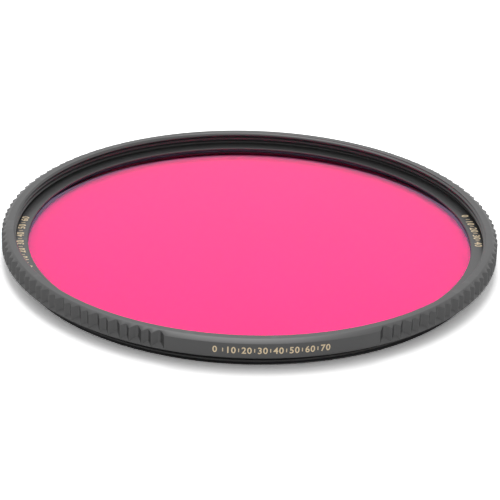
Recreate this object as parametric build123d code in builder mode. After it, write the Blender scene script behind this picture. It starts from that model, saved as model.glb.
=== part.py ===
from build123d import *
import math
import os

# Screw-in infrared lens filter: a turned aluminium ring with a fluted grip band, a coated red glass
# disc and the slotted ring that holds the glass from behind.
# Millimetres. The rear face lies on Z = 0 and the front thread opens towards +Z. The smooth stretch
# of the band that carries the marks faces -Y.

# Metric fine thread, the same size in front and behind
thread_diameter = 82.0
thread_pitch = 0.75
thread_depth_per_pitch = 0.5413
front_lead_in = 0.34
rear_lead_in = 0.3
relief_width = 0.35
relief_clearance = 0.05

# Grip band of the ring, with a broad shallow bevel in front
rim_wall = 2.0
band_height = 3.15
front_bevel_width = 0.97
front_bevel_drop = 0.455
rear_edge_chamfer = 0.25

# Stack along the axis, from the rear face to the front face
rear_recess = 0.23
retainer_thickness = 0.7
glass_thickness = 2.0
lip_thickness = 0.32
front_bore_depth = 2.15

# Glass and what holds it, across the axis
neck_wall = 0.744
glass_clearance = 0.1
lip_overlap = 1.2
lip_edge_break = 0.1
glass_edge_chamfer = 0.2
retainer_chamfer = 0.25
spanner_slot_width = 1.2
spanner_slot_depth = 0.35
spanner_slot_count = 2

# Flutes: wide and narrow ones take turns along two arcs, with a smooth stretch between the arcs.
# Each is a V with a rounded root. They open in the front bevel as arches and end on a thin flange at
# the shoulder.
flute_flank_angle = 40.0
wide_flute_angle = 2.9
wide_flute_depth = 0.75
narrow_flute_angle = 2.1
narrow_flute_depth = 0.53
ridge_angle = 0.1
narrow_flutes_per_arc = 25
flute_arc_count = 2
flange_thickness = 0.3

# Radii and heights that follow from the sizes above
thread_radius = thread_diameter / 2
thread_root_depth = thread_depth_per_pitch * thread_pitch
minor_radius = thread_radius - thread_root_depth
band_radius = thread_radius + rim_wall
front_relief_radius = thread_radius + relief_clearance
rear_relief_radius = minor_radius - relief_clearance
seat_radius = rear_relief_radius - neck_wall
glass_radius = seat_radius - glass_clearance
aperture_radius = glass_radius - lip_overlap
retainer_width = seat_radius - aperture_radius

retainer_bottom = rear_recess
glass_bottom = retainer_bottom + retainer_thickness
glass_top = glass_bottom + glass_thickness
ledge_height = glass_top + lip_thickness
total_height = ledge_height + front_bore_depth
shoulder_height = total_height - band_height
flute_floor = shoulder_height + flange_thickness

# Flute pattern
pair_angle = wide_flute_angle + narrow_flute_angle + 2 * ridge_angle
wide_flutes_per_arc = narrow_flutes_per_arc + 1
arc_angle = narrow_flutes_per_arc * pair_angle + wide_flute_angle
arc_spacing = 360 / flute_arc_count
smooth_angle = arc_spacing - arc_angle
marked_side_angle = -90.0
first_arc_start = marked_side_angle + smooth_angle / 2
wide_flute_middle = wide_flute_angle / 2
narrow_flute_middle = wide_flute_angle + ridge_angle + narrow_flute_angle / 2


def flute_section(flute_angle, flute_depth):
    """V with a rounded root that spans flute_angle at the face of the band, where its origin lies."""
    half_angle = math.radians(flute_angle / 2)
    flank_slope = math.tan(math.radians(flute_flank_angle))
    half_width = band_radius * math.sin(half_angle)
    face_sag = band_radius * (1 - math.cos(half_angle))
    apex_depth = half_width * flank_slope + face_sag
    root_radius = (apex_depth - flute_depth) / (1 / math.cos(math.radians(flute_flank_angle)) - 1)
    open_half_width = (apex_depth + flute_depth) / flank_slope
    with BuildSketch() as section:
        with BuildLine():
            Polyline(
                (-apex_depth, 0),
                (flute_depth, -open_half_width),
                (flute_depth, open_half_width),
                close=True,
            )
        make_face()
        fillet(section.vertices().sort_by(Axis.X)[0], radius=root_radius)
    return section.sketch


wide_flute_section = flute_section(wide_flute_angle, wide_flute_depth)
narrow_flute_section = flute_section(narrow_flute_angle, narrow_flute_depth)

# Filter ring: one turned profile, then the flutes milled into the band
with BuildPart() as filter_ring:
    with BuildSketch(Plane.XZ):
        with BuildLine():
            Polyline(
                (seat_radius, 0),
                (thread_radius - rear_lead_in, 0),
                (thread_radius, rear_lead_in),
                (thread_radius, shoulder_height - relief_width),
                (rear_relief_radius, shoulder_height - relief_width),
                (rear_relief_radius, shoulder_height),
                (band_radius - rear_edge_chamfer, shoulder_height),
                (band_radius, shoulder_height + rear_edge_chamfer),
                (band_radius, total_height - front_bevel_drop),
                (band_radius - front_bevel_width, total_height),
                (minor_radius + front_lead_in, total_height),
                (minor_radius, total_height - front_lead_in),
                (minor_radius, ledge_height + relief_width),
                (front_relief_radius, ledge_height + relief_width),
                (front_relief_radius, ledge_height),
                (aperture_radius + lip_edge_break, ledge_height),
                (aperture_radius, ledge_height - lip_edge_break),
                (aperture_radius, glass_top),
                (seat_radius, glass_top),
                close=True,
            )
        make_face()
    revolve(axis=Axis.Z)
    for section, flute_middle, flute_count in (
        (wide_flute_section, wide_flute_middle, wide_flutes_per_arc),
        (narrow_flute_section, narrow_flute_middle, narrow_flutes_per_arc),
    ):
        with BuildSketch(Plane.XY.offset(flute_floor)):
            for arc_index in range(flute_arc_count):
                with PolarLocations(
                    radius=band_radius,
                    count=flute_count,
                    start_angle=first_arc_start + arc_index * arc_spacing + flute_middle,
                    angular_range=flute_count * pair_angle,
                ):
                    add(section)
        extrude(amount=band_height, mode=Mode.SUBTRACT)
filter_ring.part.label = "filter_ring"

# Filter glass: a flat disc with ground edges, pressed up against the lip
with BuildPart() as filter_glass:
    with BuildSketch(Plane.XY.offset(glass_bottom)):
        Circle(glass_radius)
    extrude(amount=glass_thickness)
    chamfer(filter_glass.edges(), length=glass_edge_chamfer)
filter_glass.part.label = "filter_glass"

# Retaining ring: screwed in behind the glass, with two slots for a spanner
with BuildPart() as retaining_ring:
    with BuildSketch(Plane.XY.offset(retainer_bottom)):
        Circle(seat_radius)
        Circle(aperture_radius, mode=Mode.SUBTRACT)
    extrude(amount=retainer_thickness)
    rear_inner_edge = retaining_ring.faces().sort_by(Axis.Z)[0].inner_wires()[0].edges()
    chamfer(rear_inner_edge, length=retainer_chamfer)
    with BuildSketch(Plane.XY.offset(retainer_bottom)):
        with PolarLocations((aperture_radius + seat_radius) / 2, spanner_slot_count):
            Rectangle(2 * retainer_width, spanner_slot_width)
    extrude(amount=spanner_slot_depth, mode=Mode.SUBTRACT)
retaining_ring.part.label = "retaining_ring"

os.makedirs("parts", exist_ok=True)
export_step(filter_ring.part, "parts/filter_ring.step")
export_step(filter_glass.part, "parts/filter_glass.step")
export_step(retaining_ring.part, "parts/retaining_ring.step")
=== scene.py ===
import logging
import math
from collections.abc import Sequence
from dataclasses import dataclass, field
from enum import Enum

import bmesh
import bpy
from mathutils import Euler, Matrix, Vector


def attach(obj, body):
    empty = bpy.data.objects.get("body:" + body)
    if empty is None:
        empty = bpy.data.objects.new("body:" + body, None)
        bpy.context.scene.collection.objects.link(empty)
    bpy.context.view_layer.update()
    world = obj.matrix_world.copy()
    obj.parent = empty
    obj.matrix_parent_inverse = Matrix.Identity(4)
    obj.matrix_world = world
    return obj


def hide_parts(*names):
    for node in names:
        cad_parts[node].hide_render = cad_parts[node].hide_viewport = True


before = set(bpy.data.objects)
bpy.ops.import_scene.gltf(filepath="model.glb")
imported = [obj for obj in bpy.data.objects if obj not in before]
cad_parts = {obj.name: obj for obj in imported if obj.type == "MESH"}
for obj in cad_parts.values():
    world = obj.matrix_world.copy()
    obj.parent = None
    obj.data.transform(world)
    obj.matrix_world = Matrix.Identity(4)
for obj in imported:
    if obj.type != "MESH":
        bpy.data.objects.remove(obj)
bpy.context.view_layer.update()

log = logging.getLogger("lens_filter")

ROOT_BODY = "root"
FULL_TURN = 2 * math.pi

# Metres in a millimetre, and how close, in metres, points lie that are merged
MM = 0.001
MERGE_DISTANCE = 1e-7

# Driving sizes in millimetres, those of the CAD to the nearest micrometre
THREAD_RADIUS = 41.0
THREAD_PITCH = 0.75
THREAD_DEPTH = 0.406
RELIEF_WIDTH = 0.35
RELIEF_CLEARANCE = 0.05
RIM_WALL = 2.0
NECK_WALL = 0.744
GLASS_CLEARANCE = 0.1
LIP_OVERLAP = 1.2
REAR_RECESS = 0.23
RETAINER_THICKNESS = 0.7
GLASS_THICKNESS = 2.0
LIP_THICKNESS = 0.32
FRONT_BORE_DEPTH = 2.15
BAND_HEIGHT = 3.15

# Radii and heights that follow from them
MINOR_RADIUS = THREAD_RADIUS - THREAD_DEPTH
BAND_RADIUS = THREAD_RADIUS + RIM_WALL
FRONT_RELIEF_RADIUS = THREAD_RADIUS + RELIEF_CLEARANCE
REAR_RELIEF_RADIUS = MINOR_RADIUS - RELIEF_CLEARANCE
SEAT_RADIUS = REAR_RELIEF_RADIUS - NECK_WALL
GLASS_RADIUS = SEAT_RADIUS - GLASS_CLEARANCE
APERTURE_RADIUS = GLASS_RADIUS - LIP_OVERLAP
GLASS_BOTTOM = REAR_RECESS + RETAINER_THICKNESS
GLASS_TOP = GLASS_BOTTOM + GLASS_THICKNESS
LEDGE_HEIGHT = GLASS_TOP + LIP_THICKNESS
TOP = LEDGE_HEIGHT + FRONT_BORE_DEPTH
SHOULDER = TOP - BAND_HEIGHT

Point = tuple[float, float, float]
Colour = tuple[float, float, float]


class Slot(Enum):
    """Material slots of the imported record."""

    RING = "black_anodised_ring"
    GLASS = "coated_red_glass"
    RETAINER = "black_retaining_ring"


class Facing(Enum):
    """Side on which the metal of a thread lies."""

    MALE = "metal inside"
    FEMALE = "metal outside"


# Mesh helpers


@dataclass
class MeshDraft:
    """Points in millimetres and faces of a mesh that is being drawn up."""

    points: list[Point] = field(default_factory=list)
    faces: list[tuple[int, ...]] = field(default_factory=list)

    def ring(self, radius: float, height: float, angles: Sequence[float]) -> list[int]:
        """Add a circle of points and return their indices."""
        return self.curve([radius] * len(angles), [height] * len(angles), angles)

    def row(self, radius: float, height: float, angles: Sequence[float]) -> list[int]:
        """Add a circle of points, or one point on the axis that stands for the whole circle.

        Args:
            radius: Radius of the circle, or 0.
            height: Height of the circle.
            angles: Angle of each point about the axis, in radians.

        Returns:
            One index per angle.
        """
        if radius > 0:
            return self.ring(radius, height, angles)
        return self.ring(0.0, height, [0.0]) * len(angles)

    def curve(
        self, radii: Sequence[float], heights: Sequence[float], angles: Sequence[float]
    ) -> list[int]:
        """Add one point per angle.

        Args:
            radii: Distance of each point from the axis.
            heights: Height of each point.
            angles: Angle of each point about the axis, in radians.

        Returns:
            The indices of the new points.
        """
        first = len(self.points)
        for radius, height, angle in zip(radii, heights, angles):
            self.points.append((radius * math.cos(angle), radius * math.sin(angle), height))
        return list(range(first, len(self.points)))

    def face(self, *corners: int) -> None:
        """Add a face, without corners that repeat, unless fewer than three are left.

        Args:
            corners: Indices of its corners in order.
        """
        kept = [c for i, c in enumerate(corners) if c != corners[i - 1]]
        if len(set(kept)) == len(kept) and len(kept) >= 3:
            self.faces.append(tuple(kept))

    def strip(self, rows: list[list[int]], closed: bool = False) -> None:
        """Join closed rows of the same length, each to the next.

        Args:
            rows: Indices of each row, in order down the wall.
            closed: Whether the last row is joined to the first.
        """
        below = rows[1:] + (rows[:1] if closed else [])
        for upper, lower in zip(rows, below):
            for i in range(len(upper)):
                j = (i + 1) % len(upper)
                self.face(lower[i], lower[j], upper[j], upper[i])

    def stitch(
        self,
        lower: Sequence[int],
        lower_angles: Sequence[float],
        upper: Sequence[int],
        upper_angles: Sequence[float],
    ) -> None:
        """Join two closed rows of different lengths with triangles.

        Args:
            lower: Indices of the first row, counter-clockwise.
            lower_angles: Rising angles of the first row.
            upper: Indices of the second row, counter-clockwise.
            upper_angles: Rising angles of the second row.
        """
        i = j = 0
        while i < len(lower) or j < len(upper):
            a = lower_angles[(i + 1) % len(lower)] + FULL_TURN * ((i + 1) // len(lower))
            b = upper_angles[(j + 1) % len(upper)] + FULL_TURN * ((j + 1) // len(upper))
            low, up = lower[i % len(lower)], upper[j % len(upper)]
            if j >= len(upper) or (i < len(lower) and a <= b):
                self.face(low, lower[(i + 1) % len(lower)], up)
                i += 1
            else:
                self.face(low, upper[(j + 1) % len(upper)], up)
                j += 1

    def build(self, name: str, sharp_angle: float) -> bpy.types.Object:
        """Make the Blender object.

        Args:
            name: Name of the piece.
            sharp_angle: Edges between faces that turn by more than this, in degrees, stay sharp.

        Returns:
            The new object, linked to the scene.
        """
        mesh = bpy.data.meshes.new(name)
        mesh.from_pydata([Vector(p) * MM for p in self.points], [], self.faces)
        clean = bmesh.new()
        clean.from_mesh(mesh)
        bmesh.ops.remove_doubles(clean, verts=clean.verts, dist=MERGE_DISTANCE)
        bmesh.ops.recalc_face_normals(clean, faces=clean.faces)
        clean.to_mesh(mesh)
        clean.free()
        mesh.validate()
        mesh.polygons.foreach_set("use_smooth", [True] * len(mesh.polygons))
        mesh.set_sharp_from_angle(angle=math.radians(sharp_angle))
        mesh.update()
        piece = bpy.data.objects.new(name, mesh)
        bpy.context.scene.collection.objects.link(piece)
        return piece


def even_angles(count: int) -> list[float]:
    """Evenly spaced angles over one turn, from 0."""
    return [FULL_TURN * i / count for i in range(count)]


# Shared effects


class EffectGroup:
    """A node group with float sockets that is being wired up."""

    def __init__(self, name: str, inputs: dict[str, float], outputs: Sequence[str]) -> None:
        """Make the group and its sockets.

        Args:
            name: Name of the group.
            inputs: Default value of each input.
            outputs: Name of each output.
        """
        self.tree = bpy.data.node_groups.new(name, "ShaderNodeTree")
        for label, value in inputs.items():
            socket = self.tree.interface.new_socket(label, in_out="INPUT", socket_type="NodeSocketFloat")
            socket.default_value = value
        for label in outputs:
            self.tree.interface.new_socket(label, in_out="OUTPUT", socket_type="NodeSocketFloat")
        self.entry = self.tree.nodes.new("NodeGroupInput")
        self.exit = self.tree.nodes.new("NodeGroupOutput")

    def math(self, operation: str, *values: bpy.types.NodeSocket | float) -> bpy.types.NodeSocket:
        """Add a Math node.

        Args:
            operation: Its operation.
            values: A socket or a number for each input.

        Returns:
            The node's output.
        """
        node = self.tree.nodes.new("ShaderNodeMath")
        node.operation = operation
        for socket, value in zip(node.inputs, values):
            if isinstance(value, bpy.types.NodeSocket):
                self.tree.links.new(value, socket)
            else:
                socket.default_value = value
        return node.outputs[0]

    def noise(self, size: bpy.types.NodeSocket, detail: float) -> bpy.types.NodeSocket:
        """Add noise in the object's own space.

        Args:
            size: Size of its patches, in metres.
            detail: Number of finer layers.

        Returns:
            The noise, from 0 to 1.
        """
        place = self.tree.nodes.new("ShaderNodeTexCoord")
        node = self.tree.nodes.new("ShaderNodeTexNoise")
        node.inputs["Detail"].default_value = detail
        self.tree.links.new(place.outputs["Object"], node.inputs["Vector"])
        self.tree.links.new(self.math("DIVIDE", 1.0, size), node.inputs["Scale"])
        return node.outputs[0]


# Layers of noise in the fine grain, in its patches and in the wear
FINE_DETAIL = 3.0
PATCH_DETAIL = 2.0
WEAR_DETAIL = 4.0

# How much larger the patches are than the grain, and the fine grain's share of the tone
PATCH_GROWTH = 40.0
FINE_SHARE = 0.6

# Pointiness at which an edge starts to show wear, and at which it shows all of it
WEAR_START = 0.53
WEAR_FULL = 0.62


def blasted_grain() -> bpy.types.NodeTree:
    """Fine grain of a bead-blasted or printed face.

    Returns:
        The node group.
    """
    group = EffectGroup("blasted_grain", {"Grain Size": 0.0002}, ("Tone", "Height"))
    size = group.entry.outputs["Grain Size"]
    fine = group.noise(size, FINE_DETAIL)
    patches = group.noise(group.math("MULTIPLY", size, PATCH_GROWTH), PATCH_DETAIL)
    tone = group.math("MULTIPLY_ADD", fine, FINE_SHARE, group.math("MULTIPLY", patches, 1 - FINE_SHARE))
    group.tree.links.new(tone, group.exit.inputs["Tone"])
    group.tree.links.new(fine, group.exit.inputs["Height"])
    return group.tree


def turning_lines() -> bpy.types.NodeTree:
    """Circles about the axis that a lathe tool leaves.

    Returns:
        The node group.
    """
    group = EffectGroup("turning_lines", {"Feed": 0.0001}, ("Height",))
    place = group.tree.nodes.new("ShaderNodeTexCoord")
    split = group.tree.nodes.new("ShaderNodeSeparateXYZ")
    group.tree.links.new(place.outputs["Object"], split.inputs[0])
    square = group.math("MULTIPLY", split.outputs["X"], split.outputs["X"])
    radius = group.math(
        "SQRT", group.math("MULTIPLY_ADD", split.outputs["Y"], split.outputs["Y"], square)
    )
    along = group.math("DIVIDE", group.math("ADD", radius, split.outputs["Z"]), group.entry.outputs["Feed"])
    wave = group.math("SINE", group.math("MULTIPLY", along, FULL_TURN))
    group.tree.links.new(group.math("MULTIPLY_ADD", wave, 0.5, 0.5), group.exit.inputs["Height"])
    return group.tree


def edge_wear() -> bpy.types.NodeTree:
    """Mask of outer edges that handling has rubbed, broken up by noise.

    Returns:
        The node group.
    """
    group = EffectGroup("edge_wear", {"Amount": 0.5, "Patch Size": 0.001}, ("Mask",))
    shape = group.tree.nodes.new("ShaderNodeNewGeometry")
    edge = group.tree.nodes.new("ShaderNodeMapRange")
    edge.inputs["From Min"].default_value = WEAR_START
    edge.inputs["From Max"].default_value = WEAR_FULL
    group.tree.links.new(shape.outputs["Pointiness"], edge.inputs["Value"])
    patches = group.noise(group.entry.outputs["Patch Size"], WEAR_DETAIL)
    broken = group.math("MULTIPLY", edge.outputs["Result"], patches)
    mask = group.math("MULTIPLY", broken, group.entry.outputs["Amount"])
    group.tree.links.new(mask, group.exit.inputs["Mask"])
    return group.tree


EFFECTS = {make.__name__: make() for make in (blasted_grain, turning_lines, edge_wear)}


# Finishes


@dataclass
class MaterialDraft:
    """A material with one Principled shader that is being wired up."""

    name: str

    def __post_init__(self) -> None:
        """Make the material and find its shader."""
        self.material = bpy.data.materials.new(self.name)
        self.material.use_nodes = True
        self.tree = self.material.node_tree
        self.shader = self.tree.nodes["Principled BSDF"]

    def effect(self, name: str, **values: float) -> bpy.types.ShaderNode:
        """Place a shared effect.

        Args:
            name: Name of the effect.
            values: Value of each input, with underscores for spaces.

        Returns:
            The group node.
        """
        node = self.tree.nodes.new("ShaderNodeGroup")
        node.node_tree = EFFECTS[name]
        for label, value in values.items():
            node.inputs[label.replace("_", " ")].default_value = value
        return node

    def blend(
        self, mask: bpy.types.NodeSocket, first: bpy.types.NodeSocket | Colour, second: Colour
    ) -> bpy.types.NodeSocket:
        """Mix two colours by a mask.

        Args:
            mask: Share of the second colour.
            first: A socket or a colour.
            second: A colour.

        Returns:
            The mixed colour.
        """
        node = self.tree.nodes.new("ShaderNodeMix")
        node.data_type = "RGBA"
        self.tree.links.new(mask, node.inputs["Factor"])
        if isinstance(first, bpy.types.NodeSocket):
            self.tree.links.new(first, node.inputs["A"])
        else:
            node.inputs["A"].default_value = (*first, 1)
        node.inputs["B"].default_value = (*second, 1)
        return node.outputs["Result"]

    def spread(self, tone: bpy.types.NodeSocket, low: float, high: float) -> bpy.types.NodeSocket:
        """Map a tone onto a range of values.

        Args:
            tone: A value from 0 to 1.
            low: Result where the tone is 0.
            high: Result where the tone is 1.

        Returns:
            The mapped value.
        """
        node = self.tree.nodes.new("ShaderNodeMapRange")
        node.inputs["To Min"].default_value = low
        node.inputs["To Max"].default_value = high
        self.tree.links.new(tone, node.inputs["Value"])
        return node.outputs["Result"]

    def relief(self, height: bpy.types.NodeSocket, strength: float, depth: float) -> None:
        """Roughen the surface.

        Args:
            height: Height of the relief, from 0 to 1.
            strength: Share of the relief that shows.
            depth: Depth of the relief, in metres.
        """
        node = self.tree.nodes.new("ShaderNodeBump")
        node.inputs["Strength"].default_value = strength
        node.inputs["Distance"].default_value = depth
        self.tree.links.new(height, node.inputs["Height"])
        self.tree.links.new(node.outputs["Normal"], self.shader.inputs["Normal"])


def shade(colour: Colour, factor: float) -> Colour:
    """A lighter or darker shade of a colour."""
    return tuple(channel * factor for channel in colour)


@dataclass(frozen=True)
class AnodisedFinish:
    """Black anodised aluminium, blasted or freshly turned, with rubbed edges."""

    name: str
    colour: Colour
    roughness: float
    lines: float
    worn_colour: Colour = (0.09, 0.09, 0.092)
    tone_spread: float = 0.2
    roughness_spread: float = 0.05
    grain_size: float = 0.00018
    feed: float = 0.0002
    wear: float = 0.6
    depth: float = 0.000004
    strength: float = 0.35
    ior: float = 1.8

    def material(self) -> bpy.types.Material:
        """Build the material.

        Returns:
            The new material.
        """
        draft = MaterialDraft(self.name)
        grain = draft.effect("blasted_grain", Grain_Size=self.grain_size)
        lines = draft.effect("turning_lines", Feed=self.feed)
        wear = draft.effect("edge_wear", Amount=self.wear)
        tone = grain.outputs["Tone"]
        plain = draft.blend(
            tone, shade(self.colour, 1 - self.tone_spread), shade(self.colour, 1 + self.tone_spread)
        )
        worn = draft.blend(wear.outputs["Mask"], plain, self.worn_colour)
        draft.tree.links.new(worn, draft.shader.inputs["Base Color"])
        rough = draft.spread(
            tone, self.roughness - self.roughness_spread, self.roughness + self.roughness_spread
        )
        draft.tree.links.new(rough, draft.shader.inputs["Roughness"])
        height = draft.tree.nodes.new("ShaderNodeMath")
        height.operation = "MULTIPLY_ADD"
        height.inputs[1].default_value = self.lines
        draft.tree.links.new(lines.outputs["Height"], height.inputs[0])
        draft.tree.links.new(grain.outputs["Height"], height.inputs[2])
        draft.relief(height.outputs[0], self.strength, self.depth)
        draft.shader.inputs["IOR"].default_value = self.ior
        return draft.material


@dataclass(frozen=True)
class GlassFinish:
    """Deep red glass with a violet coating that varies a little over the disc."""

    name: str = Slot.GLASS.value
    thin_coat: Colour = (1.0, 0.0, 0.35)
    thick_coat: Colour = (1.0, 0.0, 0.4)
    coat_patches: float = 0.0006
    coated_ior: float = 1.8
    mirror_level: float = 1.0
    mirror_tint: Colour = (0.45, 0.15, 1.0)

    def material(self) -> bpy.types.Material:
        """Build the material.

        Returns:
            The new material.
        """
        draft = MaterialDraft(self.name)
        coat = draft.effect("blasted_grain", Grain_Size=self.coat_patches)
        tint = draft.blend(coat.outputs["Tone"], self.thin_coat, self.thick_coat)
        draft.tree.links.new(tint, draft.shader.inputs["Base Color"])
        draft.shader.inputs["Roughness"].default_value = 0.0
        draft.shader.inputs["Transmission Weight"].default_value = 1.0
        draft.shader.inputs["IOR"].default_value = self.coated_ior
        draft.shader.inputs["Specular IOR Level"].default_value = self.mirror_level
        draft.shader.inputs["Specular Tint"].default_value = (*self.mirror_tint, 1)
        return draft.material


@dataclass(frozen=True)
class PrintFinish:
    """Matt gold ink."""

    name: str = "gold_print"
    colour: Colour = (0.95, 0.76, 0.5)
    tone_spread: float = 0.12
    grain_size: float = 0.00012
    smoothest: float = 0.4
    roughest: float = 0.52
    depth: float = 0.000002
    strength: float = 0.3

    def material(self) -> bpy.types.Material:
        """Build the material.

        Returns:
            The new material.
        """
        draft = MaterialDraft(self.name)
        grain = draft.effect("blasted_grain", Grain_Size=self.grain_size)
        ink = draft.blend(
            grain.outputs["Tone"],
            shade(self.colour, 1 - self.tone_spread),
            shade(self.colour, 1 + self.tone_spread),
        )
        draft.tree.links.new(ink, draft.shader.inputs["Base Color"])
        rough = draft.spread(grain.outputs["Tone"], self.smoothest, self.roughest)
        draft.tree.links.new(rough, draft.shader.inputs["Roughness"])
        draft.relief(grain.outputs["Height"], self.strength, self.depth)
        return draft.material


# The ring


@dataclass
class ThreadCut:
    """A metric thread between two heights, with a lead-in chamfer at one end.

    A crest's middle passes through passing_height at passing_angle, in degrees. The narrow and the wide
    flat are given as shares of the pitch, from the middle of the flat to its edge.
    """

    facing: Facing
    low: float
    high: float
    passing_height: float
    passing_angle: float
    lead_in: float
    major_radius: float = THREAD_RADIUS
    minor_radius: float = MINOR_RADIUS
    pitch: float = THREAD_PITCH
    flank_steps: int = 4
    narrow_flat: float = 1 / 16
    wide_flat: float = 1 / 8

    @property
    def crest_height(self) -> float:
        """Height of that crest's middle at angle 0."""
        return self.passing_height - self.pitch * self.passing_angle / 360

    @property
    def flank(self) -> float:
        """Share of the pitch that one flank takes."""
        return 0.5 - self.narrow_flat - self.wide_flat

    @property
    def flats(self) -> tuple[float, float]:
        """Share of the pitch that half the flat of a crest takes, and half that of a root."""
        flats = (self.narrow_flat, self.wide_flat)
        return flats if self.facing is Facing.MALE else flats[::-1]

    def breaks(self) -> list[float]:
        """Places in one pitch where a row of points runs.

        Returns:
            Shares of the pitch, from a crest's middle.
        """
        crest, root = self.flats
        steps = self.flank_steps
        start, end = crest, 0.5 - root
        rise = [start + (end - start) * i / steps for i in range(steps + 1)]
        return [0.0] + rise + [0.5] + [1 - p for p in reversed(rise)]

    def radius(self, height: float, angle: float) -> float:
        """Radius of the threaded wall.

        Args:
            height: Height in millimetres.
            angle: Angle about the axis, in radians.

        Returns:
            The radius, with the lead-in chamfer taken off.
        """
        turns = (height - self.crest_height) / self.pitch - angle / FULL_TURN
        off = abs(turns - round(turns))
        crest, _ = self.flats
        share = min(1.0, max(0.0, (off - crest) / self.flank))
        if self.facing is Facing.MALE:
            thread = self.major_radius + (self.minor_radius - self.major_radius) * share
            return min(thread, self.major_radius - self.lead_in + (height - self.low))
        thread = self.minor_radius + (self.major_radius - self.minor_radius) * share
        return max(thread, self.minor_radius + self.lead_in - (self.high - height))

    def cut(self, draft: MeshDraft, angles: Sequence[float]) -> tuple[list[int], list[int]]:
        """Draw the wall with rows that follow the helix.

        Args:
            draft: The mesh to add to.
            angles: Rising angles of the columns.

        Returns:
            The indices of the lower and of the upper edge.
        """

        def edge(height: float) -> list[int]:
            """Row along an edge of the wall."""
            return draft.curve([self.radius(height, a) for a in angles], [height] * len(angles), angles)

        low_edge, high_edge = edge(self.low), edge(self.high)
        steps = self.breaks()

        # The helix rises one pitch over the columns, so its turns start below the wall and end above it
        first_turn = math.floor((self.low - self.crest_height) / self.pitch) - 2
        last_turn = math.ceil((self.high - self.crest_height) / self.pitch) + 1
        rows = []
        for turn in range(first_turn, last_turn + 1):
            for step in steps:
                row = []
                for column, angle in enumerate(angles):
                    height = self.crest_height + (turn + step + angle / FULL_TURN) * self.pitch
                    if height <= self.low:
                        row.append(low_edge[column])
                    elif height >= self.high:
                        row.append(high_edge[column])
                    else:
                        row += draft.curve([self.radius(height, angle)], [height], [angle])
                rows.append(row)
        count = len(angles)
        for i in range(len(rows) - 1):
            for j in range(count):
                if j + 1 < count:
                    right_low, right_high = rows[i][j + 1], rows[i + 1][j + 1]
                elif i + 1 + len(steps) < len(rows):
                    right_low, right_high = rows[i + len(steps)][0], rows[i + 1 + len(steps)][0]
                else:
                    right_low = right_high = high_edge[0]
                draft.face(rows[i][j], right_low, right_high, rows[i + 1][j])
        return low_edge, high_edge


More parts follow.
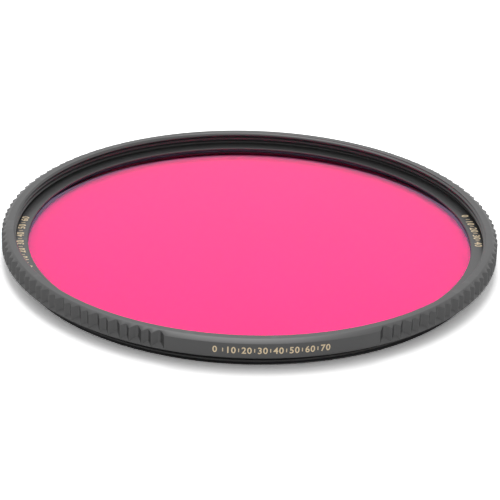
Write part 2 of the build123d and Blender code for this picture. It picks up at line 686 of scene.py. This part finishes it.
@dataclass
class FluteBand:
    """The grip band: a broad bevel, and wide and narrow flutes that run out on a thin flange.

    Its front edges are rounded by edge_round. As shares of that, round_drop is how far the middle of a
    rounding lies below the sharp edge, and round_inset how far it lies inside the wall.
    """

    radius: float = BAND_RADIUS
    bevel_width: float = 0.97
    bevel_drop: float = 0.455
    top: float = TOP
    shoulder: float = SHOULDER
    flange: float = 0.3
    rear_chamfer: float = 0.25
    runout_angle: float = 45.0
    flank_angle: float = 40.0
    wide_angle: float = 2.9
    wide_depth: float = 0.75
    narrow_angle: float = 2.1
    narrow_depth: float = 0.53
    ridge_angle: float = 0.1
    narrow_per_arc: int = 25
    arc_count: int = 2
    marked_side: float = -90.0
    root_steps: int = 6
    smooth_step: float = 0.75
    edge_round: float = 0.035
    round_drop: float = 0.12
    round_inset: float = 0.2

    def smooth_angle(self) -> float:
        """Angle of each smooth stretch, in degrees."""
        pair = self.wide_angle + self.narrow_angle + 2 * self.ridge_angle
        return 360 / self.arc_count - self.narrow_per_arc * pair - self.wide_angle

    def flute(self, span: float, depth: float) -> list[tuple[float, float]]:
        """Section of one flute across the band.

        Args:
            span: Angle of the flute at the band's face, in degrees.
            depth: Depth of the flute.

        Returns:
            Pairs of angle from the flute's middle, in radians, and radius.
        """
        half, flank = math.radians(span / 2), math.radians(self.flank_angle)
        apex = self.radius * (math.sin(half) * math.tan(flank) + 1 - math.cos(half))
        root = (apex - depth) / (1 / math.cos(flank) - 1)
        section = []
        for step in range(self.root_steps + 1):
            turn = flank * (2 * step / self.root_steps - 1)
            across, out = root * math.sin(turn), self.radius - depth + root * (1 - math.cos(turn))
            section.append((math.atan2(across, out), math.hypot(across, out)))
        return [(-half, self.radius)] + section + [(half, self.radius)]

    def outline(self) -> list[tuple[float, float]]:
        """Columns of the band, over one turn.

        Returns:
            Pairs of angle, in radians, and radius.
        """
        columns = []
        for arc in range(self.arc_count):
            angle = self.marked_side - self.smooth_angle() / 2 + arc * 360 / self.arc_count
            steps = round(self.smooth_angle() / self.smooth_step)
            for i in range(1, steps):
                columns.append((math.radians(angle + self.smooth_angle() * i / steps), self.radius))
            angle += self.smooth_angle()
            for index in range(2 * self.narrow_per_arc + 1):
                wide = index % 2 == 0
                span = self.wide_angle if wide else self.narrow_angle
                middle = math.radians(angle + span / 2)
                for offset, radius in self.flute(span, self.wide_depth if wide else self.narrow_depth):
                    columns.append((middle + offset, radius))
                angle += span + self.ridge_angle
        start = columns[0][0]
        return [(angle, radius) for angle, radius in columns if angle < start + FULL_TURN]

    def cut(self, draft: MeshDraft) -> tuple[list[int], list[int], list[float]]:
        """Draw the band from the flat rim to the shoulder.

        Args:
            draft: The mesh to add to.

        Returns:
            The indices of the edge on the rim and of the edge on the shoulder, and the columns' angles.
        """
        columns = self.outline()
        angles = [angle for angle, _ in columns]
        walls = [radius for _, radius in columns]
        inner = self.radius - self.bevel_width
        slope = self.bevel_drop / self.bevel_width
        soft = self.edge_round
        back = soft / math.hypot(1, slope)
        drop, inset = self.round_drop * soft, self.round_inset * soft
        flange_top = self.shoulder + self.flange
        runout = math.tan(math.radians(self.runout_angle))

        def arch(radius: float) -> float:
            """Height of the bevel at a radius."""
            return self.top - (radius - inner) * slope

        rows = [
            draft.ring(inner - soft, self.top, angles),
            draft.ring(inner, self.top - drop, angles),
            draft.ring(inner + soft, arch(inner + soft), angles),
            draft.curve([r - back for r in walls], [arch(r - back) for r in walls], angles),
            draft.curve([r - inset for r in walls], [arch(r) - drop for r in walls], angles),
            draft.curve(walls, [arch(r) - soft for r in walls], angles),
            draft.curve(walls, [flange_top + (self.radius - r) * runout for r in walls], angles),
            draft.ring(self.radius, flange_top - soft, angles),
            draft.ring(self.radius, self.shoulder + self.rear_chamfer, angles),
            draft.ring(self.radius - self.rear_chamfer, self.shoulder, angles),
        ]
        draft.strip(rows)
        return rows[0], rows[-1], angles


@dataclass
class FilterRing:
    """The turned ring: band, rim, front thread, ledge, lip, glass seat and rear thread."""

    columns: int = 720
    shoulder: float = SHOULDER
    relief: float = RELIEF_WIDTH
    front_relief_radius: float = FRONT_RELIEF_RADIUS
    rear_relief_radius: float = REAR_RELIEF_RADIUS
    seat_radius: float = SEAT_RADIUS
    aperture_radius: float = APERTURE_RADIUS
    lip_low: float = GLASS_TOP
    lip_high: float = LEDGE_HEIGHT
    lip_break: float = 0.1
    seat_break: float = 0.08
    sharp_angle: float = 32.0
    finish: AnodisedFinish = AnodisedFinish(
        Slot.RING.value, colour=(0.02, 0.02, 0.0205), roughness=0.36, lines=0.0
    )
    band: FluteBand = field(default_factory=FluteBand)
    front_thread: ThreadCut = field(
        default_factory=lambda: ThreadCut(
            Facing.FEMALE,
            low=LEDGE_HEIGHT + RELIEF_WIDTH,
            high=TOP,
            passing_height=5.05,
            passing_angle=84.0,
            lead_in=0.34,
        )
    )
    rear_thread: ThreadCut = field(
        default_factory=lambda: ThreadCut(
            Facing.MALE,
            low=0.0,
            high=SHOULDER - RELIEF_WIDTH,
            passing_height=0.9,
            passing_angle=-96.0,
            lead_in=0.3,
        )
    )

    def build(self) -> bpy.types.Object:
        """Draw the ring and put it in place of the plain CAD ring.

        Returns:
            The new object.
        """
        draft = MeshDraft()
        angles = even_angles(self.columns)
        rim_edge, shoulder_edge, band_angles = self.band.cut(draft)
        front_low, front_high = self.front_thread.cut(draft, angles)
        rear_low, rear_high = self.rear_thread.cut(draft, angles)

        # The band's columns start elsewhere, so its rows turn until their angles rise from 0
        turned = [angle % FULL_TURN for angle in band_angles]
        start = turned.index(min(turned))
        turned = turned[start:] + turned[:start]
        rim_edge = rim_edge[start:] + rim_edge[:start]
        shoulder_edge = shoulder_edge[start:] + shoulder_edge[:start]
        draft.stitch(rim_edge, turned, front_high, angles)

        rows = [
            front_low,
            draft.ring(self.front_relief_radius, self.lip_high + self.relief, angles),
            draft.ring(self.front_relief_radius, self.lip_high, angles),
            draft.ring(self.aperture_radius + self.lip_break, self.lip_high, angles),
            draft.ring(self.aperture_radius, self.lip_high - self.lip_break, angles),
            draft.ring(self.aperture_radius, self.lip_low, angles),
            draft.ring(self.seat_radius, self.lip_low, angles),
            draft.ring(self.seat_radius, self.seat_break, angles),
            draft.ring(self.seat_radius + self.seat_break, 0.0, angles),
            rear_low,
        ]
        draft.strip(rows)
        neck = [
            draft.ring(self.rear_relief_radius, self.shoulder, angles),
            draft.ring(self.rear_relief_radius, self.shoulder - self.relief, angles),
            rear_high,
        ]
        draft.strip(neck)
        draft.stitch(neck[0], angles, shoulder_edge, turned)

        piece = draft.build("threaded_filter_ring", self.sharp_angle)
        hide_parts("filter_ring")
        return piece

    def dress(self, piece: bpy.types.Object) -> None:
        """Give the ring its finish, body and slot.

        Args:
            piece: The object that build() made.
        """
        piece.data.materials.append(self.finish.material())
        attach(piece, ROOT_BODY)


@dataclass
class FilterGlass:
    """The flat glass disc behind the lip, with ground edges."""

    columns: int = 480
    radius: float = GLASS_RADIUS
    low: float = GLASS_BOTTOM
    high: float = GLASS_TOP
    edge: float = 0.2
    inner_row_share: float = 0.5
    sharp_angle: float = 30.0

    def build(self) -> bpy.types.Object:
        """Draw the disc and put it in place of the CAD disc.

        Returns:
            The new object.
        """
        draft = MeshDraft()
        angles = even_angles(self.columns)
        profile = [
            (0.0, self.high),
            (self.inner_row_share * self.radius, self.high),
            (self.radius - self.edge, self.high),
            (self.radius, self.high - self.edge),
            (self.radius, self.low + self.edge),
            (self.radius - self.edge, self.low),
            (self.inner_row_share * self.radius, self.low),
            (0.0, self.low),
        ]
        rows = [draft.row(radius, height, angles) for radius, height in profile]
        draft.strip(rows)
        piece = draft.build("infrared_glass_disc", self.sharp_angle)
        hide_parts("filter_glass")
        return piece

    def dress(self, piece: bpy.types.Object) -> None:
        """Give the glass its finish, body and slot.

        Args:
            piece: The object that build() made.
        """
        piece.data.materials.append(GlassFinish().material())
        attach(piece, ROOT_BODY)


@dataclass
class RetainingRing:
    """The ring that holds the glass from behind, with slots for a spanner."""

    columns: int = 480
    outer_radius: float = SEAT_RADIUS
    inner_radius: float = APERTURE_RADIUS
    low: float = REAR_RECESS
    high: float = GLASS_BOTTOM
    chamfer: float = 0.25
    slot_width: float = 1.2
    slot_depth: float = 0.35
    slot_angles: tuple[float, ...] = (0.0, 180.0)
    slot_columns: tuple[float, ...] = (-1.0, -0.5, 0.0, 0.5, 1.0)
    slot_margin: float = 1.2
    sharp_angle: float = 30.0
    finish: AnodisedFinish = AnodisedFinish(
        Slot.RETAINER.value, colour=(0.012, 0.012, 0.0125), roughness=0.4, lines=0.8
    )

    def outline(self) -> tuple[list[float], list[bool]]:
        """Columns of the ring. Each side of a slot has two.

        Returns:
            The angle of each column, and whether it lies in a slot.
        """
        middle = (self.outer_radius + self.inner_radius) / 2
        half = math.asin(self.slot_width / 2 / middle)
        columns = []
        for index in range(self.columns):
            angle = 360 * index / self.columns
            away = min(abs((angle - a + 180) % 360 - 180) for a in self.slot_angles)
            if math.radians(away) > self.slot_margin * half:
                columns.append((math.radians(angle), 0, False))
        for slot in self.slot_angles:
            centre = math.radians(slot)
            for step in self.slot_columns:
                columns.append((centre + step * half, 1 if step < 0 else 0, True))
            columns.append((centre - half, 0, False))
            columns.append((centre + half, 1, False))
        columns.sort()
        return [angle for angle, _, _ in columns], [inside for _, _, inside in columns]

    def build(self) -> bpy.types.Object:
        """Draw the ring and put it in place of the CAD ring.

        Returns:
            The new object.
        """
        draft = MeshDraft()
        angles, slotted = self.outline()
        floor = self.low + self.slot_depth

        def edge(radius: float, height: float) -> list[int]:
            """Row at a height that rises to the floor of each slot."""
            return draft.curve([radius] * len(angles), [floor if s else height for s in slotted], angles)

        rows = [
            draft.ring(self.outer_radius, self.high, angles),
            draft.ring(self.inner_radius, self.high, angles),
            draft.ring(self.inner_radius, floor, angles),
            edge(self.inner_radius, self.low + self.chamfer),
            edge(self.inner_radius + self.chamfer, self.low),
            edge(self.outer_radius, self.low),
            draft.ring(self.outer_radius, floor, angles),
        ]
        draft.strip(rows, closed=True)
        piece = draft.build("slotted_retaining_ring", self.sharp_angle)
        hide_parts("retaining_ring")
        return piece

    def dress(self, piece: bpy.types.Object) -> None:
        """Give the retaining ring its finish, body and slot.

        Args:
            piece: The object that build() made.
        """
        piece.data.materials.append(self.finish.material())
        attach(piece, ROOT_BODY)


# Printed scales


class Surface(Enum):
    """Where a scale is printed."""

    BAND = "outer wall of the band"
    LEDGE = "ledge in front of the glass"


@dataclass
class PrintedScale:
    """A row of plain numerals with a tick between each pair.

    Its middle and step are angles in degrees. Its boldness and letter_spacing are in the font's units.
    """

    surface: Surface
    last_numeral: int
    middle: float
    step: float
    base: float
    height: float
    radius: float
    numeral_step: int = 10
    tick_share: float = 0.55
    tick_width: float = 0.15
    boldness: float = 0.018
    letter_spacing: float = 1.12
    outline_steps: int = 3
    film: float = 0.012
    sunk: float = 0.004

    @property
    def numerals(self) -> list[str]:
        """The numerals, from 0 to the last one."""
        return [str(value) for value in range(0, self.last_numeral + 1, self.numeral_step)]

    def place(self, point: Vector, angle: float) -> Point:
        """Bend a flat point onto the surface.

        Args:
            point: Place in the flat print, in millimetres, with its film thickness as z.
            angle: Angle of the print's origin about the axis, in radians.

        Returns:
            The point on the ring, in millimetres.
        """
        lift = point.z
        if self.surface is Surface.BAND:
            turn = angle + point.x / self.radius
            reach = self.radius + lift
            return reach * math.cos(turn), reach * math.sin(turn), self.base + point.y
        turn = angle - point.x / self.radius
        reach = self.radius + point.y
        return reach * math.cos(turn), reach * math.sin(turn), self.base + lift

    def draw(
        self, draft: MeshDraft, points: Sequence[Vector], faces: Sequence[Sequence[int]], angle: float
    ) -> None:
        """Add a flat outline's solid to the draft, bent onto the surface.

        Args:
            draft: The mesh to add to.
            points: Points of a closed solid, with z from 0 to 1 through the film.
            faces: Its faces.
            angle: Angle of its origin about the axis, in radians.
        """
        first = len(draft.points)
        for point in points:
            lift = -self.sunk + point.z * (self.film + self.sunk)
            draft.points.append(self.place(Vector((point.x, point.y, lift)), angle))
        for face in faces:
            draft.faces.append(tuple(first + index for index in face))

    def numeral(self, text: str) -> tuple[list[Vector], list[list[int]]]:
        """Solid of one numeral, centred, with z from 0 to 1.

        Args:
            text: The digits.

        Returns:
            Its points in millimetres and its faces.
        """
        half_depth = 0.5
        curve = bpy.data.curves.new("numeral", "FONT")
        curve.body = text
        curve.align_x = "CENTER"
        curve.extrude = half_depth
        curve.resolution_u = self.outline_steps
        curve.space_character = self.letter_spacing
        curve.offset = self.boldness
        holder = bpy.data.objects.new("numeral", curve)
        mesh = bpy.data.meshes.new_from_object(holder)
        tall = max(v.co.y for v in mesh.vertices)
        low = min(v.co.y for v in mesh.vertices)
        scale = self.height / (tall - low)
        points = [
            Vector((v.co.x * scale, (v.co.y - low) * scale, v.co.z + half_depth)) for v in mesh.vertices
        ]
        faces = [list(face.vertices) for face in mesh.polygons]
        bpy.data.objects.remove(holder)
        bpy.data.curves.remove(curve)
        bpy.data.meshes.remove(mesh)
        return points, faces

    def tick(self) -> tuple[list[Vector], list[list[int]]]:
        """Solid of one tick, centred, with z from 0 to 1.

        Returns:
            Its points in millimetres and its faces.
        """
        half, tall = self.tick_width / 2, self.height * self.tick_share
        low = (self.height - tall) / 2
        corners = ((-half, low), (half, low), (half, low + tall), (-half, low + tall))
        points = [Vector((*corner, z)) for z in (0, 1) for corner in corners]
        faces = [[3, 2, 1, 0], [4, 5, 6, 7], [0, 1, 5, 4], [1, 2, 6, 5], [2, 3, 7, 6], [3, 0, 4, 7]]
        return points, faces

    def cut(self, draft: MeshDraft) -> None:
        """Add the whole scale to a draft.

        Args:
            draft: The mesh to add to.
        """
        way = 1 if self.surface is Surface.BAND else -1
        last = len(self.numerals) - 1
        for index, text in enumerate(self.numerals):
            angle = self.middle + way * self.step * (index - last / 2)
            self.draw(draft, *self.numeral(text), math.radians(angle))
            if index < last:
                self.draw(draft, *self.tick(), math.radians(angle + way * self.step / 2))


def ledge_scale(last_numeral: int, middle: float, step: float) -> PrintedScale:
    """A scale on the ledge in front of the glass.

    Args:
        last_numeral: Its last numeral.
        middle: Angle of its middle, in degrees.
        step: Angle from one numeral to the next, in degrees.

    Returns:
        The scale.
    """
    return PrintedScale(
        Surface.LEDGE, last_numeral, middle, step, base=LEDGE_HEIGHT, height=1.3, radius=39.2
    )


@dataclass
class PrintedScales:
    """All the print on the ring, as one piece."""

    sharp_angle: float = 30.0
    scales: tuple[PrintedScale, ...] = (
        PrintedScale(
            Surface.BAND,
            last_numeral=70,
            middle=-90.9,
            step=3.35,
            base=3.2,
            height=1.15,
            radius=BAND_RADIUS,
        ),
        ledge_scale(last_numeral=60, middle=-178.0, step=4.6),
        ledge_scale(last_numeral=40, middle=1.0, step=4.2),
    )

    def build(self) -> bpy.types.Object:
        """Draw every scale.

        Returns:
            The new object.
        """
        draft = MeshDraft()
        for scale in self.scales:
            scale.cut(draft)
        return draft.build("printed_scales", self.sharp_angle)

    def dress(self, piece: bpy.types.Object) -> None:
        """Give the print its ink, body and slot.

        Args:
            piece: The object that build() made.
        """
        piece.data.materials.append(PrintFinish().material())
        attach(piece, ROOT_BODY)


# Surroundings


def seen_directly(tree: bpy.types.NodeTree, mirrored: float) -> bpy.types.NodeSocket:
    """Mask of the rays that show a surface to the eye, straight, through glass or mirrored.

    Args:
        tree: Node tree to add the mask to.
        mirrored: Value of the mask for rays that a surface mirrors.

    Returns:
        A socket that is 1 for straight rays and rays through glass, the given value for mirrored rays,
        and 0 for rays that only light.
    """
    path = tree.nodes.new("ShaderNodeLightPath")
    mirror = tree.nodes.new("ShaderNodeMath")
    mirror.operation = "MULTIPLY"
    mirror.inputs[1].default_value = mirrored
    tree.links.new(path.outputs["Is Glossy Ray"], mirror.inputs[0])
    mask = mirror.outputs[0]
    for label in ("Is Camera Ray", "Is Transmission Ray"):
        either = tree.nodes.new("ShaderNodeMath")
        either.operation = "MAXIMUM"
        tree.links.new(mask, either.inputs[0])
        tree.links.new(path.outputs[label], either.inputs[1])
        mask = either.outputs[0]
    return mask


@dataclass
class Studio:
    """Pale floor, soft light and the camera, in metres and degrees.

    The floor and the world have one tone where they are seen and another where they only light. The
    camera turns about the target by azimuth and elevation, and from there by pan, tilt and roll.
    """

    floor_size: float = 3.0
    floor_colour: Colour = (0.8, 0.8, 0.8)
    floor_seen: Colour = (2.0, 2.0, 2.0)
    floor_mirrored: float = 0.35
    floor_gap: float = 0.00001
    world_light: float = 0.55
    world_seen: float = 1.0
    world_mirrored: float = 1.0
    lamp_width: float = 0.3
    lamp_length: float = 0.45
    lamp_power: float = 1.2
    lamp_place: Point = (0.0, 0.2, 0.55)
    lamp_tilt: float = -20.0
    azimuth: float = -6.0
    elevation: float = 25.24
    pan: float = 0.0193
    tilt: float = -0.6886
    roll: float = 1.689
    distance: float = 0.3749
    target: Point = (0.0, 0.0, TOP * MM)
    lens: float = 155.04
    sensor: float = 36.0
    nearest: float = 0.01

    def build(self) -> None:
        """Set up the floor, the lights and the camera."""
        self.floor()
        self.lights()
        self.camera()

    def floor(self) -> None:
        """Lay the floor just under the rear face."""
        half = self.floor_size / 2
        mesh = bpy.data.meshes.new("floor")
        corners = [(-half, -half), (half, -half), (half, half), (-half, half)]
        mesh.from_pydata([(x, y, -self.floor_gap) for x, y in corners], [], [(0, 1, 2, 3)])
        floor = bpy.data.objects.new("floor", mesh)
        bpy.context.scene.collection.objects.link(floor)
        material = bpy.data.materials.new("floor")
        material.use_nodes = True
        nodes, links = material.node_tree.nodes, material.node_tree.links
        nodes.remove(nodes["Principled BSDF"])
        paper = nodes.new("ShaderNodeBsdfDiffuse")
        links.new(paper.outputs["BSDF"], nodes["Material Output"].inputs["Surface"])
        seen = seen_directly(material.node_tree, self.floor_mirrored)
        tone = nodes.new("ShaderNodeMix")
        tone.data_type = "RGBA"
        tone.inputs["A"].default_value = (*self.floor_colour, 1)
        tone.inputs["B"].default_value = (*self.floor_seen, 1)
        links.new(seen, tone.inputs["Factor"])
        links.new(tone.outputs["Result"], paper.inputs["Color"])
        mesh.materials.append(material)

    def lights(self) -> None:
        """Light the white surroundings and hang one soft lamp overhead."""
        world = bpy.data.worlds.new("studio")
        bpy.context.scene.world = world
        world.use_nodes = True
        nodes, links = world.node_tree.nodes, world.node_tree.links
        background = nodes["Background"]
        background.inputs["Color"].default_value = (1, 1, 1, 1)
        strength = nodes.new("ShaderNodeMapRange")
        strength.inputs["To Min"].default_value = self.world_light
        strength.inputs["To Max"].default_value = self.world_seen
        links.new(seen_directly(world.node_tree, self.world_mirrored), strength.inputs["Value"])
        links.new(strength.outputs["Result"], background.inputs["Strength"])

        lamp = bpy.data.lights.new("overhead_softbox", "AREA")
        lamp.shape = "RECTANGLE"
        lamp.size = self.lamp_width
        lamp.size_y = self.lamp_length
        lamp.energy = self.lamp_power
        softbox = bpy.data.objects.new("overhead_softbox", lamp)
        softbox.location = self.lamp_place
        softbox.rotation_euler = Euler((math.radians(self.lamp_tilt), 0, 0))
        bpy.context.scene.collection.objects.link(softbox)

    def camera(self) -> None:
        """Place the camera where the photograph was taken from."""
        azimuth, elevation = math.radians(self.azimuth), math.radians(self.elevation)
        back = Vector(
            (
                math.sin(azimuth) * math.cos(elevation),
                -math.cos(azimuth) * math.cos(elevation),
                math.sin(elevation),
            )
        )
        right = Vector((0, 0, 1)).cross(back).normalized()
        up = back.cross(right)
        aim = Matrix((right, up, back)).transposed()
        for angle, axis in ((-self.pan, "Y"), (self.tilt, "X"), (self.roll, "Z")):
            aim = aim @ Matrix.Rotation(math.radians(angle), 3, axis)
        lens = bpy.data.cameras.new("camera")
        lens.lens = self.lens
        lens.sensor_width = self.sensor
        lens.clip_start = self.nearest
        camera = bpy.data.objects.new("camera", lens)
        camera.matrix_world = Matrix.Translation(Vector(self.target) + back * self.distance) @ aim.to_4x4()
        bpy.context.scene.collection.objects.link(camera)
        bpy.context.scene.camera = camera


def main() -> None:
    """Build every piece in order, dress it, and set up the studio."""
    logging.basicConfig(level=logging.INFO, format="%(message)s")

    for part in (FilterRing(), FilterGlass(), RetainingRing(), PrintedScales()):
        piece = part.build()
        part.dress(piece)
        log.info("%s: %d faces", piece.name, len(piece.data.polygons))

    scene = bpy.context.scene
    scene.view_settings.view_transform = "Standard"
    Studio().build()


if __name__ == "__main__":
    main()
